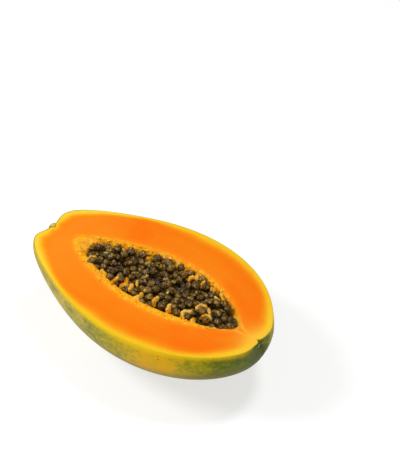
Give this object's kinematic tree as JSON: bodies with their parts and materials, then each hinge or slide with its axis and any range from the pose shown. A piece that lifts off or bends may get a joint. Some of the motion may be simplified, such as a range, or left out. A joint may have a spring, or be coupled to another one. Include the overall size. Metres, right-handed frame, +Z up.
{
  "type": "papaya half",
  "caption": "Papaya half lying on its rind: pear-shaped, with a flat cut face, a long seed hollow heaped with round seeds, and a dry stalk stub at the narrow end.",
  "frame": {"origin": "middle of the small flat spot of rind that the half rests on", "axes": "+X along the core line from the stem end to the blossom end, +Z up out of the cut face, +Y towards the slightly fuller side"},
  "size_m": [0.2035, 0.1251, 0.0638],
  "materials": {
    "flesh": "satin",
    "rind": "satin",
    "seed_coat": "gloss",
    "dry_stem": "matte"
  },
  "bodies": {
    "root": {"fruit_half": "flesh", "seed_mass": "seed_coat", "stem_stub": "dry_stem"}
  },
  "joints": []
}
